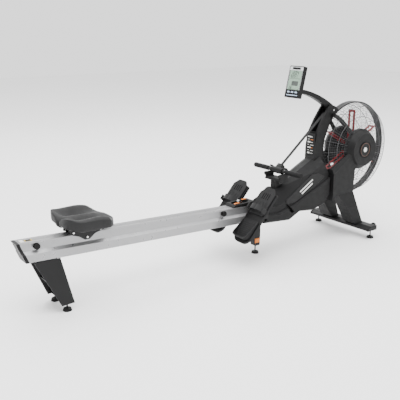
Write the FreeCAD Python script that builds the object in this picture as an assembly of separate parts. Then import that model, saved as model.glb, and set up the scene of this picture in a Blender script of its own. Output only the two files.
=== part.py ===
import FreeCAD, Part
import math
import os

# Air rowing machine, millimetres. +X points forward from the seat to the fan,
# +Y to the rower's left, +Z up. The floor is Z 0 and Y 0 is the middle plane.
# Lengths along X are first measured from the rear feet, then every piece is moved
# back by ORIGIN_X so that the origin lies under the middle of the machine.

V = FreeCAD.Vector

# Driving dimensions
RAIL_ANGLE = 2.0          # the rail falls this many degrees towards the front
RAIL_TOP = 352.6          # height of the rail's top at the rear feet
RAIL_DEPTH = 97.0
RAIL_REAR = -186.0
RAIL_FRONT = 1192.0
RAIL_CUT = 23.4           # slant of the rail's rear end, from square
FLANGE_HALF = 35.0
WEB_HALF = 27.0
BOX_HALF = 41.0
FLANGE_THICK = 7.0

SEAT_X = 140.0            # middle of the seat carriage at rest
SEAT_HALF_WIDTH = 140.0
MAST_HALF_WIDTH = 41.0
ROLLER_RADIUS = 13.0
LOWER_ROLLER_RADIUS = 10.0
ROLLER_SPREAD = 70.0      # from the carriage's middle to a roller axle

FAN_X, FAN_Z = 2012.0, 550.0
RING_RADIUS = 291.0
SIX_ANGLES = [math.radians(60 * step) for step in range(6)]
BLADE_RADIUS = 238.0
BLADES = 6
HUB_RADIUS = 126.0
HUB_FACE = 124.0

PLATE_ANGLE = 49.0        # footplates, from the floor
PLATE_X, PLATE_Y, PLATE_Z = 1005.0, 122.0, 150.0

HANDLE_X, HANDLE_Z = 1389.0, 480.0
HANDLE_HALF = 198.0
PULLEY_X, PULLEY_Z, PULLEY_RADIUS = 1770.0, 768.0, 20.0
STRAP_HALF = 10.0
STRAP_THICK = 2.0

CROSSBAR_X, CROSSBAR_Z = 1985.0, 70.0
CROSSBAR_HALF = 250.0
REAR_FOOT_Y, FRONT_FOOT_Y = 76.0, 221.0
MIDDLE_FOOT_X, FRONT_FOOT_X = 1230.0, 2000.0

ARM_PIVOT_X, ARM_PIVOT_Z = 1806.0, 803.0
CONSOLE_X, CONSOLE_Z = 1509.0, 982.0
TILT_X, TILT_Z = 1558.0, 925.0
CONSOLE_LEAN = 13.0       # the console's face leans this far back from upright
CONSOLE_HALF_WIDTH, CONSOLE_HALF_HEIGHT, CONSOLE_DEPTH = 57.0, 91.0, 26.0

CAP_THICK = 16.0
REAR_END = -201.9         # rearmost point of the rail's end cap
ORIGIN_X = (REAR_END + FAN_X + RING_RADIUS) / 2

SIDES = {"left": 1, "right": -1}


def box(x0, x1, y0, y1, z0, z1):
    low, high = min(y0, y1), max(y0, y1)
    return Part.makeBox(x1 - x0, high - low, z1 - z0, V(x0, low, z0))


def rod_y(x, z, radius, y0, y1):
    return Part.makeCylinder(radius, abs(y1 - y0), V(x, min(y0, y1), z), V(0, 1, 0))


def tube_y(x, z, outer, inner, y0, y1):
    low, high = min(y0, y1), max(y0, y1)
    return rod_y(x, z, outer, low, high).cut(rod_y(x, z, inner, low - 1, high + 1))


def rounded_wire(points, place):
    """A closed wire through (a, b, radius) corners, each rounded by its radius."""
    edges, first, last = [], None, None
    count = len(points)
    for i in range(count):
        a, b, radius = points[i]
        corner = V(a, b, 0)
        before = corner - V(*points[i - 1][:2], 0)
        after = V(*points[(i + 1) % count][:2], 0) - corner
        before.normalize()
        after.normalize()
        turn = before.getAngle(after)
        if radius > 0 and turn > 1e-3:
            reach = radius * math.tan(turn / 2)
            start, end = corner - before * reach, corner + after * reach
            inward = after - before
            inward.normalize()
            middle = corner + inward * (radius / math.cos(turn / 2) - radius)
            arc = Part.Arc(place(start), place(middle), place(end)).toShape()
        else:
            start, end, arc = corner, corner, None
        if last is not None:
            edges.append(Part.LineSegment(place(last), place(start)).toShape())
        else:
            first = start
        if arc is not None:
            edges.append(arc)
        last = end
    edges.append(Part.LineSegment(place(last), place(first)).toShape())
    return Part.Wire(edges)


def slab_y(points, y0, y1):
    """An (x, z, radius) outline between two Y planes."""
    low, high = min(y0, y1), max(y0, y1)
    wire = rounded_wire(points, lambda p: V(p.x, low, p.y))
    return Part.Face(wire).extrude(V(0, high - low, 0))


def slab_z(points, z0, z1):
    """An (x, y, radius) outline between two heights."""
    wire = rounded_wire(points, lambda p: V(p.x, p.y, z0))
    return Part.Face(wire).extrude(V(0, 0, z1 - z0))


def cut_slab_y(points, y0, y1, inset):
    """The same outline made smaller all round, for a hollow."""
    low, high = min(y0, y1), max(y0, y1)
    wire = rounded_wire(points, lambda p: V(p.x, low, p.y))
    smaller = Part.Face(wire).makeOffset2D(-inset)
    return smaller.extrude(V(0, high - low, 0))


def section(x0, x1, y0, y1, z):
    return Part.makePolygon([V(x0, y0, z), V(x1, y0, z), V(x1, y1, z), V(x0, y1, z), V(x0, y0, z)])


def mirrored(shape):
    return shape.mirror(V(0, 0, 0), V(0, 1, 0))


def for_side(shape, side):
    """Shapes are drawn on the left, +Y, side. The right one is its mirror image."""
    return shape.copy() if side > 0 else mirrored(shape)


def round_edges(shape, radius, keep):
    edges = [edge for edge in shape.Edges if keep(edge.BoundBox)]
    return shape.makeFillet(radius, edges)


def at_y(y):
    return lambda bound: abs(bound.YMin - y) < 0.01 and abs(bound.YMax - y) < 0.01


def at_z(z):
    return lambda bound: abs(bound.ZMin - z) < 0.01 and abs(bound.ZMax - z) < 0.01


def on_rail(shape):
    """From the rail's own axes: X along it and Z 0 on its top face."""
    turned = shape.copy()
    turned.rotate(V(0, 0, 0), V(0, 1, 0), RAIL_ANGLE)
    turned.translate(V(0, 0, RAIL_TOP))
    return turned


def rail_point(along, above):
    angle = math.radians(RAIL_ANGLE)
    return (along * math.cos(angle) + above * math.sin(angle),
            RAIL_TOP - along * math.sin(angle) + above * math.cos(angle))


def on_plate(shape, side):
    """From a footplate's own axes: X up along it and Z off its face."""
    turned = shape.copy()
    turned.rotate(V(0, 0, 0), V(0, 1, 0), -PLATE_ANGLE)
    turned.translate(V(PLATE_X, PLATE_Y, PLATE_Z))
    return for_side(turned, side)


def on_console(shape):
    """From the console's own axes: Y across, Z up its face and X through it."""
    turned = shape.copy()
    turned.rotate(V(0, 0, 0), V(0, 1, 0), CONSOLE_LEAN)
    turned.translate(V(CONSOLE_X, 0, CONSOLE_Z))
    return turned


def save(name, *shapes):
    solids = [solid for shape in shapes for solid in shape.Solids]
    whole = solids[0] if len(solids) == 1 else Part.makeCompound(solids)
    whole = whole.copy()
    whole.translate(V(-ORIGIN_X, 0, 0))
    whole.exportStep("parts/" + name + ".step")


# Rail and rear leg

def rail_profile(y_grow=0.0):
    half = [(0, 0), (FLANGE_HALF, 0), (FLANGE_HALF, -FLANGE_THICK), (WEB_HALF, -FLANGE_THICK),
            (WEB_HALF, -43), (BOX_HALF, -56), (BOX_HALF, -RAIL_DEPTH + 3),
            (BOX_HALF - 3, -RAIL_DEPTH), (0, -RAIL_DEPTH)]
    right = [(y + y_grow if y else 0, z) for y, z in half]
    left = [(-y, z) for y, z in reversed(right[1:-1])]
    return right + left


def prism_x(points, x0, x1):
    corners = [V(x0, y, z) for y, z in points]
    return Part.Face(Part.makePolygon(corners + corners[:1])).extrude(V(x1 - x0, 0, 0))


def behind_cut(offset):
    """Everything behind the rail's slanted rear end, moved forward by offset."""
    block = Part.makeBox(400, 200, 400, V(-400, -100, -200))
    block.rotate(V(0, 0, 0), V(0, 1, 0), -RAIL_CUT)
    block.translate(V(RAIL_REAR + offset, 0, 0))
    return block


def rail():
    body = prism_x(rail_profile(), RAIL_REAR - 60, RAIL_FRONT).cut(behind_cut(0))
    hollow = [(-21, -12), (21, -12), (21, -46), (35, -59), (35, -91), (-35, -91), (-35, -59), (-21, -46)]
    body = body.cut(prism_x(hollow, RAIL_REAR - 60, RAIL_FRONT + 1))
    for y in (-31, -11, -4, 4, 11, 31):
        body = body.cut(box(RAIL_REAR - 60, RAIL_FRONT + 1, y - 1, y + 1, -1.2, 1))
    save("rail", on_rail(body))


def rail_end_cap():
    cap = prism_x(rail_profile(0.8), RAIL_REAR - 90, RAIL_FRONT)
    return on_rail(cap.common(behind_cut(-0.1)).cut(behind_cut(-CAP_THICK)))


def rail_stops():
    stops = []
    for along in (-107, 966):
        for side in SIDES.values():
            bumper = rod_y(along, -22.5, 15, side * (WEB_HALF + 0.1), side * 45)
            stops.append(on_rail(round_edges(bumper, 3, at_y(side * 45))))
    save("rail_stops", *stops)


def leg_plate():
    """One splayed side of the rear leg, from the rail down to its foot."""
    def edge(corners, y0, y1):
        (xa, za), (xb, zb) = corners
        points = [V(xa, y0, za), V(xb, y0, zb), V(xb, y1, zb), V(xa, y1, za)]
        return Part.makePolygon(points + points[:1])
    upper = edge([(-128, 257), (0, 254)], 36, 40)
    lower = edge([(-26, 34), (38, 37)], 82, 86)
    return Part.makeLoft([upper, lower], True, True)


def rear_leg():
    plate = leg_plate()
    upper = box(-112, -14, -35.5, 35.5, 248, 254)
    lower = Part.makeLoft([section(-20, 30, -78.5, 78.5, 50), section(-24, 26, -77, 77, 56)], True, True)
    middle = Part.makeLoft([section(-66, -30, -57.5, 57.5, 140),
                            section(-68, -32, -56.5, 56.5, 146)], True, True)
    for side in SIDES.values():
        lower = lower.cut(Part.makeCylinder(4.3, 20, V(5, side * (REAR_FOOT_Y - 6), 45)))
    save("rear_leg", plate, mirrored(plate), upper, middle, lower)


def levelling_foot(x, y, socket):
    pad = Part.makeCone(22, 19, 12, V(x, y, 0))
    stem = Part.makeCylinder(4, socket - 6, V(x, y, 6))
    return pad.fuse(stem)


def levelling_feet():
    places = {"rear_left": (5, REAR_FOOT_Y - 6, 60), "rear_right": (5, 6 - REAR_FOOT_Y, 60),
              "middle": (MIDDLE_FOOT_X, 0, 66), "front_left": (FRONT_FOOT_X, FRONT_FOOT_Y, 68),
              "front_right": (FRONT_FOOT_X, -FRONT_FOOT_Y, 68)}
    for name, (x, y, top) in places.items():
        save("levelling_foot_" + name, levelling_foot(x, y, top))


# Seat

def seat_outline():
    rear, front, half = SEAT_X - 118, SEAT_X + 142, SEAT_HALF_WIDTH
    left = [(rear, 22, 10), (rear - 8, half - 46, 22), (rear + 26, half, 26), (SEAT_X + 40, half, 60),
            (front - 48, half - 6, 30), (front, 44, 40)]
    return left + [(x, -y, r) for x, y, r in reversed(left)]


def seat():
    bottom = RAIL_TOP - SEAT_X * math.tan(math.radians(RAIL_ANGLE)) + 2 * ROLLER_RADIUS + 10
    rear, front = SEAT_X - 140, SEAT_X + 160
    side_view = [(rear, bottom + 24, 0), (rear + 50, bottom, 20),
                 (front - 40, bottom, 20), (front, bottom + 16, 0),
                 (front, bottom + 38, 0), (SEAT_X - 20, bottom + 48, 200), (rear + 60, bottom + 70, 60),
                 (rear, bottom + 70, 0)]
    plan = slab_z(seat_outline(), bottom - 5, bottom + 90)
    save("seat_cushion", slab_y(side_view, -200, 200).common(plan))
    return bottom - 5


def carriage(top):
    """The seat's carriage: a plate, two side plates, axles and three pairs of rollers."""
    base = slab_z([(SEAT_X - 90, -90, 20), (SEAT_X + 92, -90, 20), (SEAT_X + 92, 90, 20),
                   (SEAT_X - 90, 90, 20)], top, top + 5)
    low = rail_point(SEAT_X, -FLANGE_THICK - LOWER_ROLLER_RADIUS)[1]
    outline = [(SEAT_X - 84, top - 0.1, 2), (SEAT_X - 86, top - 24, 4), (SEAT_X - 40, top - 40, 12),
               (SEAT_X - 14, low - 12, 8), (SEAT_X + 12, low - 12, 8), (SEAT_X + 40, top - 38, 12),
               (SEAT_X + 92, top - 24, 4), (SEAT_X + 90, top - 0.1, 2)]
    left = slab_y(outline, 38, 42)
    save("seat_carriage", base, left, mirrored(left))
    axles, screws = [], []
    for offset, name in ((-ROLLER_SPREAD, "rear"), (ROLLER_SPREAD, "front")):
        x, z = rail_point(SEAT_X + offset, ROLLER_RADIUS + 0.3)
        axles.append(rod_y(x, z, 4, -37.9, 37.9))
        wheels = [round_edges(tube_y(x, z, ROLLER_RADIUS, 4.2, y - 7, y + 7), 1.5,
                              lambda b: b.DiagonalLength > 30) for y in (-20, 20)]
        save("seat_rollers_" + name, *wheels)
        screws += [rod_y(x, z, 5, side * 42.1, side * 45.5) for side in SIDES.values()]
    x, z = rail_point(SEAT_X, -FLANGE_THICK - LOWER_ROLLER_RADIUS - 0.3)
    lower = [tube_y(x, z, LOWER_ROLLER_RADIUS, 3.2, side * 28.5, side * 36) for side in SIDES.values()]
    axles += [rod_y(x, z, 3, side * 28.5, side * 37.9) for side in SIDES.values()]
    screws += [rod_y(x, z, 5, side * 42.1, side * 45.5) for side in SIDES.values()]
    save("seat_rollers_lower", *lower)
    save("carriage_axles", *axles, *screws)


# Front frame and its covers

def main_frame(leg_tube):
    """The welded steel frame: a beam, the mast's post, the footrests' arms and the front legs."""
    outline = [(1193.5, 300, 0), (1193.5, 228, 0), (1420, 222, 0), (1510, 242, 0), (1700, 262, 0),
               (1700, 330, 0), (1420, 290, 0)]
    beam = slab_y(outline, -24, 24).cut(cut_slab_y(outline, -20.5, 20.5, 3.5))
    post = box(1664, 1700, -24, 24, 320, 600).cut(box(1668, 1696, -20, 20, 331, 601))
    cross = box(1196, 1228, 22, 110, 240, 290)
    arm = slab_y([(1066, 246, 6), (1066, 226, 6), (1197, 226, 0), (1197, 300, 0),
                  (1150, 310, 10)], 42, 110)
    arms = arm.fuse(cross).cut(on_plate(box(-60, 460, -200, 100, -14.1, 300), 1))
    frame = beam.fuse(post).multiFuse([arms, mirrored(arms)]).removeSplitter()
    save("main_frame", frame, leg_tube, mirrored(leg_tube))


def frame_openings():
    """Room in the casing for the footrests' arms and the middle foot's bracket."""
    return box(1100, 1232, -1, 120, 222, 312).fuse(box(1203, 1257, -1, 21, 150, 260))


def middle_foot_bracket():
    outline = [(1206, 212, 0), (1208, 72, 0), (1212, 50, 6),
               (1250, 50, 6), (1252, 100, 0), (1254, 211, 0)]
    bracket = slab_y(outline, -18, 18)
    bracket = bracket.cut(box(1211, 1249, -19, -4.7, 67, 96))
    bracket = bracket.cut(Part.makeCylinder(4.3, 40, V(MIDDLE_FOOT_X, 0, 45)))
    save("middle_foot_bracket", bracket)
    lever = box(1212, 1248, -22, -11, 68, 95)
    save("release_lever", round_edges(lever, 3, at_y(-22)))


def faceted_side(inner, y_inner, outer, y_outer):
    """A solid between two (x, z) outlines with the same number of corners, in flat facets."""
    near = [V(x, y_inner, z) for x, z in inner]
    far = [V(x, y_outer, z) for x, z in outer]
    faces = [Part.Face(Part.makePolygon(loop + loop[:1])) for loop in (near, far)]
    for i in range(len(near)):
        a, b, c, d = near[i - 1], near[i], far[i], far[i - 1]
        faces += [Part.Face(Part.makePolygon([a, b, c, a])), Part.Face(Part.makePolygon([a, c, d, a]))]
    return Part.Solid(Part.Shell(faces))


def body_shell():
    """The left half of the casing: a crest along the middle falling to wider flanks."""
    crest = [(1194, 312), (1330, 364), (1615, 500), (1694, 545), (1742, 452), (1752, 300),
             (1700, 236), (1600, 214), (1500, 222), (1416, 190), (1194, 202)]
    flank = [(1215, 290), (1348, 290), (1592, 452), (1690, 500), (1738, 430), (1750, 300),
             (1700, 240), (1600, 220), (1500, 228), (1416, 194), (1215, 206)]
    upper = faceted_side(crest, 22, flank, 82).fuse(slab_y([(x, z, 0) for x, z in crest], 0.2, 22))
    belly = slab_y([(1216, 206, 0), (1416, 191, 30), (1499, 230, 30), (1608, 219, 20), (1706, 243, 0),
                    (1750, 300, 0), (1748, 401, 0), (1452, 281, 60), (1330, 250, 30), (1216, 262, 0)], 50, 95)
    belly = belly.makeChamfer(9, [edge for edge in belly.Edges if at_y(95)(edge.BoundBox)])
    shell = upper.fuse(belly).removeSplitter()
    hollow = slab_y([(1193, 318, 0), (1330, 350, 0), (1612, 484, 0), (1686, 510, 0), (1734, 450, 0),
                     (1744, 300, 0), (1696, 243, 0), (1600, 224, 0), (1500, 232, 0), (1416, 198, 0),
                     (1193, 210, 0)], -1, 24.5)
    hollow = hollow.fuse(slab_y([(1222, 280, 0), (1350, 280, 0), (1590, 430, 0), (1688, 462, 0),
                                 (1740, 300, 0), (1694, 250, 0), (1600, 230, 0), (1500, 238, 0),
                                 (1416, 203, 0), (1222, 216, 0)], 20, 70))
    mast_seat = slab_y(mast_outline(), -1, MAST_HALF_WIDTH + 0.3)
    return shell.cut(hollow).cut(mast_seat).cut(frame_openings()).cut(cage_space())


def side_panel_outline():
    return [(1352, 292, 14), (1588, 440, 20), (1640, 444, 10), (1706, 412, 8), (1466, 292, 30)]


def body_shells():
    panel = slab_y(side_panel_outline(), 81.8, 86)
    panel = panel.makeChamfer(1.2, [edge for edge in panel.Edges if at_y(86)(edge.BoundBox)])
    slot = slab_y([(1383, 288, 0), (1399, 292, 0), (1447, 238, 0), (1424, 232, 0)], 70.2, 96)
    shell = body_shell().cut(slab_y(side_panel_outline(), 81.8, 97)).cut(slot)
    shell = shell.cut(cradle_post(0.2)).cut(dial_shaft_space())
    for name, side in SIDES.items():
        save("body_shell_" + name, for_side(shell, side))
    save("body_side_panels", panel.cut(slot), mirrored(panel.cut(slot)))


def dial_axis():
    """Centre of the dial's foot and its direction, square to the casing's crest."""
    slope = math.atan2(500 - 364, 1615 - 1330)
    return V(1326, 0, 364), V(-math.sin(slope), 0, math.cos(slope))


def dial_shaft_space():
    foot, up = dial_axis()
    return Part.makeCylinder(5.3, 60, foot - up * 45, up)


def dial():
    foot, up = dial_axis()
    knob = Part.makeCylinder(21, 13, foot + up * 4, up).fuse(Part.makeCone(21, 18, 3, foot + up * 17, up))
    shaft = Part.makeCylinder(5, 34, foot - up * 29, up)
    save("resistance_dial", knob.fuse(shaft))


def mast_outline():
    return [(1652, 470, 0), (1652, 600, 60), (1668, 684, 60), (1706, 752, 60), (1752, 818, 20), (1770, 836, 8),
            (1814, 829, 10), (1849, 803, 8), (1826, 776, 6), (1786, 762, 20), (1763, 690, 40),
            (1734, 640, 60), (1738, 470, 0)]


def mast_shells():
    half = MAST_HALF_WIDTH
    solid = slab_y(mast_outline(), 0.2, half)
    taper = Part.makeBox(400, 60, 500, V(1500, 0, 0))
    taper.rotate(V(1500, 0, 0), V(1, 0, 0), math.degrees(math.atan2(7, 260)))
    taper.translate(V(0, half, 560))
    solid = solid.cut(taper)
    solid = solid.cut(cut_slab_y(mast_outline(), -1, 29, 5))
    solid = solid.cut(box(1640, 1664, -1, 34, 515, 672))
    solid = solid.cut(slab_y([(1600, 682, 0), (1700, 682, 0), (1800, 800, 0), (1770, 900, 0),
                              (1600, 900, 0)], -1, 24))
    solid = solid.cut(box(1735, 1796, -1, 24, 690, 800)).cut(box(1660, 1704, -1, 24.5, 460, 480))
    solid = solid.cut(cage_space())
    solid = solid.cut(rod_y(ARM_PIVOT_X, ARM_PIVOT_Z, 5, 0, 38)).cut(rod_y(PULLEY_X, PULLEY_Z, 4, 0, 32))
    solid = solid.cut(rod_y(ARM_PIVOT_X, ARM_PIVOT_Z, 19, -1, 24))
    solid = solid.cut(slab_y([(1780, 860, 0), (1780, 790, 0), (1806, 784, 0), (1836, 812, 0),
                              (1830, 860, 0)], -1, 20.5))
    for name, side in SIDES.items():
        save("mast_shell_" + name, for_side(solid, side))
    save("mast_rear_panel", box(1652.5, 1656.5, -33.7, 33.7, 515.3, 671.7))
    save("mast_bolts", rod_y(ARM_PIVOT_X, ARM_PIVOT_Z, 4.7, -35, 35),
         rod_y(PULLEY_X, PULLEY_Z, 3.9, -31, 31))


def head_pulley():
    pulley = tube_y(PULLEY_X, PULLEY_Z, PULLEY_RADIUS, 4.1, -12, 12)
    groove = tube_y(PULLEY_X, PULLEY_Z, PULLEY_RADIUS + 5, PULLEY_RADIUS - 0.01, -10.5, 10.5)
    flange = tube_y(PULLEY_X, PULLEY_Z, PULLEY_RADIUS + 3, PULLEY_RADIUS - 1, -13, 13).cut(
        tube_y(PULLEY_X, PULLEY_Z, PULLEY_RADIUS + 5, PULLEY_RADIUS - 2, -11, 11))
    save("head_pulley", pulley.fuse(flange).cut(groove).removeSplitter())


def arm_cover():
    """The left arm from the casing to the fan's hub."""
    outline = [(1753, 300, 0), (1751, 256, 0), (1800, 289, 0), (1938, 289, 0), (1942, 430, 20),
               (1984, 470, 0), (1984, 566, 0), (1920, 553, 30), (1756, 449, 0), (1751, 430, 0)]
    cover = slab_y(outline, 60, 113)
    ridge = [edge for edge in cover.Edges if at_y(113)(edge.BoundBox) and edge.BoundBox.ZMin > 445]
    cover = cover.makeChamfer(17, ridge)
    return cover.cut(hub_solid(1.2)).cut(cage_space())


def cage_space():
    """The room that the wire guard takes, a little larger than the guard."""
    profile = [V(0, 0, 0), V(295, 0, 0), V(295, 27, 0), V(270, 69, 0), V(HUB_RADIUS, 92, 0), V(0, 92, 0)]
    face = Part.Face(Part.makePolygon(profile + profile[:1]))
    space = face.revolve(V(0, 0, 0), V(0, 1, 0), 360)
    space.translate(V(FAN_X, 0, FAN_Z))
    return space


def leg_section(z):
    """The leg's section, from the arm's underside down to the crossbar."""
    top, bottom = 289.0, 84.0
    share = (top - z) / (top - bottom)

    def between(a, b):
        return a + (b - a) * share
    return section(between(1800, 1938), between(1938, 2003), between(60, 50), between(114, 150), z)


def legs():
    upper = Part.makeLoft([leg_section(288.8), leg_section(207)], True, True)
    lower = Part.makeLoft([leg_section(206.4), leg_section(84.1)], True, True)
    tube = Part.makeLoft([section(1850, 1890, 76, 102, 288.5),
                          section(1952, 1982, 86, 126, 84.2)], True, True)
    cage = cage_space()
    upper, lower = upper.cut(tube).cut(cage), lower.cut(tube)
    arm = arm_cover()
    save("arm_covers", arm, mirrored(arm))
    save("leg_covers", upper, mirrored(upper), lower, mirrored(lower))
    return tube


def crossbar_profile(shrink):
    """The crossbar's section, with a sloping upper rear edge."""
    rear, front = CROSSBAR_X - 40 + shrink, CROSSBAR_X + 40 - shrink
    low, high = CROSSBAR_Z - 13.5 + shrink, CROSSBAR_Z + 13.5 - shrink
    return [(rear, low, 0), (front, low, 0), (front, high, 0), (rear + 27, high, 0), (rear, high - 12, 0)]


def crossbar():
    bar = slab_y(crossbar_profile(0), 10 - CROSSBAR_HALF, CROSSBAR_HALF - 10)
    bar = bar.cut(slab_y(crossbar_profile(3), -CROSSBAR_HALF, CROSSBAR_HALF))
    caps, brackets = [], []
    face, x, z = CROSSBAR_X + 40.1, CROSSBAR_X + 57, 73.0
    for name, side in SIDES.items():
        bar = bar.cut(Part.makeCylinder(4.3, 40, V(FRONT_FOOT_X, side * FRONT_FOOT_Y, 50)))
        cap = slab_y(crossbar_profile(-1), side * (CROSSBAR_HALF - 9.9), side * CROSSBAR_HALF)
        caps.append(round_edges(cap, 4, at_y(side * CROSSBAR_HALF)))
        bracket = [(face, 83, 0), (face, 58, 0), (x + 8, 64, 6), (x + 8, 82, 6)]
        brackets += [slab_y(bracket, side * (y - 2), side * (y + 2)) for y in (197, 219)]
        brackets.append(rod_y(x, z, 3.9, side * 199.1, side * 216.9))
        wheel = tube_y(x, z, 15.5, 4.2, side * 199.6, side * 216.4)
        save("transport_wheel_" + name, round_edges(wheel, 3, lambda b: b.XLength > 28))
    save("front_crossbar", bar, *brackets)
    return caps


# Fan

def hub_solid(grow=0.0):
    """The left hub cover's outside, grown a little for the pieces that meet it."""
    radius = HUB_RADIUS + grow
    drum = rod_y(FAN_X, FAN_Z, radius, 62 - grow, 88 + grow)
    dome = Part.makeCone(radius, radius - 24, HUB_FACE - 88, V(FAN_X, 88, FAN_Z), V(0, 1, 0))
    return drum.fuse(dome).removeSplitter()


def hub_covers():
    inside = rod_y(FAN_X, FAN_Z, HUB_RADIUS - 4, 61, 84).fuse(
        Part.makeCone(HUB_RADIUS - 8, HUB_RADIUS - 30, 32, V(FAN_X, 84, FAN_Z), V(0, 1, 0)))
    cover = hub_solid().cut(inside)
    cover = cover.cut(rod_y(FAN_X, FAN_Z, 54, HUB_FACE - 3, HUB_FACE + 1))
    cover = cover.fuse(tube_y(FAN_X, FAN_Z, 16, 9.2, 100, HUB_FACE - 4))
    cover = cover.cut(rod_y(FAN_X, FAN_Z, 9.2, 90, 119.5))
    cap = round_edges(rod_y(FAN_X, FAN_Z, 37, HUB_FACE - 2.9, HUB_FACE + 2), 1.5, at_y(HUB_FACE + 2))
    save("hub_covers", cover, mirrored(cover), cap, mirrored(cap))


def wire_between(start, end, radius):
    """A straight six-sided wire."""
    line = end - start
    side = line.cross(V(0, 1, 0)).normalize()
    up = side.cross(line).normalize()
    corners = [start + (side * math.cos(a) + up * math.sin(a)) * radius for a in SIX_ANGLES]
    return Part.Face(Part.makePolygon(corners + corners[:1])).extrude(line)


def wire_ring(ring_radius, y, radius):
    """A ring of six-sided wire about the fan's axis."""
    corners = [V(FAN_X + ring_radius + radius * math.cos(a), y + radius * math.sin(a), FAN_Z)
               for a in SIX_ANGLES]
    face = Part.Face(Part.makePolygon(corners + corners[:1]))
    return face.revolve(V(FAN_X, 0, FAN_Z), V(0, 1, 0), 360)


def fan_guard():
    """The left wire guard: bent spokes over the fan, tied by rings."""
    wires = []
    stations = ((286, 21), (264, 62), (HUB_RADIUS - 2, 86))
    for step in range(24):
        angle = 2 * math.pi * step / 24
        low, bend, top = [V(FAN_X + r * math.cos(angle), y, FAN_Z + r * math.sin(angle)) for r, y in stations]
        wires += [wire_between(low, bend, 1.5), wire_between(bend, top, 1.5)]
    wires += [wire_ring(264, 62, 2), wire_ring(200, 73.1, 2)]
    return wires[0].multiFuse(wires[1:])


def fan_cage():
    ring = tube_y(FAN_X, FAN_Z, RING_RADIUS, RING_RADIUS - 8, -23, 23)
    save("fan_ring", round_edges(ring, 1.5, lambda b: b.DiagonalLength > 100 and b.YLength < 0.01))
    guard = fan_guard().cut(tube_y(FAN_X, FAN_Z, RING_RADIUS + 5, RING_RADIUS - 8.1, -30, 23.1))
    guard = guard.cut(hub_solid()).cut(brace_tube(13.3))
    save("fan_guards", guard, mirrored(guard))


def fan_rotor():
    hub = tube_y(FAN_X, FAN_Z, 46, 17.6, -30, 30)
    hub = hub.cut(tube_y(FAN_X, FAN_Z, 38, 24, 8, 31)).cut(tube_y(FAN_X, FAN_Z, 38, 24, -31, -8))
    save("fan_hub", hub)
    blades = []
    for step in range(BLADES):
        blade = box(44, BLADE_RADIUS, -27, 27, -1.5, 1.5)
        blade = blade.cut(box(66, BLADE_RADIUS - 16, -11, 11, -2, 2))
        blade.rotate(V(0, 0, 0), V(0, 1, 0), 30 + step * 360 / BLADES)
        blade.translate(V(FAN_X, 0, FAN_Z))
        blades.append(blade.cut(rod_y(FAN_X, FAN_Z, 46, -40, 40)))
    save("fan_blades", *blades)
    bearings = [tube_y(FAN_X, FAN_Z, 17.3, 8.6, y - 5.5, y + 5.5) for y in (-22, 22)]
    save("fan_axle", rod_y(FAN_X, FAN_Z, 8.5, -118, 118), *bearings)
    drum = tube_y(FAN_X, FAN_Z, 42, 20.2, -59, -38).cut(tube_y(FAN_X, FAN_Z, 45, 35, -57, -40))
    save("drive_drum", drum, tube_y(FAN_X, FAN_Z, 20, 8.8, -58, -39))
    save("recoil_spring", tube_y(FAN_X, FAN_Z, 44, 12, 40, 56))


def brace_tube(radius):
    """The left bent tube from the mast's head to the hub cover."""
    path = Part.Wire([Part.Arc(V(1792, 49, 776), V(1874, 56, 722), V(1934, 65, 654)).toShape()])
    tangent = path.Edges[0].tangentAt(path.Edges[0].FirstParameter)
    profile = Part.Wire([Part.makeCircle(radius, V(1792, 49, 776), tangent)])
    return path.makePipeShell([profile], True, True)


def brace_tubes():
    tube = brace_tube(13).cut(hub_solid(0.2))
    save("brace_tubes", tube, mirrored(tube))


# Handle and strap

def strap_ends():
    """Middle of the strap at the handle and where it meets the head pulley."""
    slope = math.atan2(PULLEY_Z - HANDLE_Z, PULLEY_X - HANDLE_X)
    reach = PULLEY_RADIUS + 1.4
    top = V(PULLEY_X - math.sin(slope) * reach, 0, PULLEY_Z + math.cos(slope) * reach)
    line = top - V(HANDLE_X, 0, HANDLE_Z)
    line.normalize()
    return V(HANDLE_X, 0, HANDLE_Z) + line * 40, top, line


def along_strap(shape, start, line):
    angle = math.degrees(math.atan2(line.z, line.x))
    turned = shape.copy()
    turned.rotate(V(0, 0, 0), V(0, 1, 0), -angle)
    turned.translate(start)
    return turned


def handle():
    start, top, line = strap_ends()
    strap = box(0, (top - start).Length, -STRAP_HALF, STRAP_HALF, -STRAP_THICK / 2, STRAP_THICK / 2)
    save("drive_strap", along_strap(strap, start, line))
    centre = V(HANDLE_X, 0, HANDLE_Z)
    save("handle_bar", rod_y(HANDLE_X, HANDLE_Z, 11, -HANDLE_HALF + 6, HANDLE_HALF - 6))
    barrel = round_edges(rod_y(HANDLE_X, HANDLE_Z, 19, -48, 48), 6, lambda b: b.YLength < 0.01)
    neck = along_strap(box(14, 42, -20, 20, -13, 13), centre, line)
    neck = neck.cut(along_strap(box(40, 50, -STRAP_HALF, STRAP_HALF, -2, 2), centre, line))
    save("handle_centre", barrel.fuse(neck).cut(rod_y(HANDLE_X, HANDLE_Z, 11, -60, 60)))
    grip = tube_y(HANDLE_X, HANDLE_Z, 14.5, 11, 72, HANDLE_HALF - 6)
    end = rod_y(HANDLE_X, HANDLE_Z, 14.5, HANDLE_HALF - 6, HANDLE_HALF)
    grip = round_edges(grip.fuse(end).removeSplitter(), 5, at_y(HANDLE_HALF))
    save("handle_grips", grip, mirrored(grip))


def cradle_post(grow=0.0):
    return box(1356 - grow, 1385 + grow, -20 - grow, 20 + grow, 366, 424)


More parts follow.
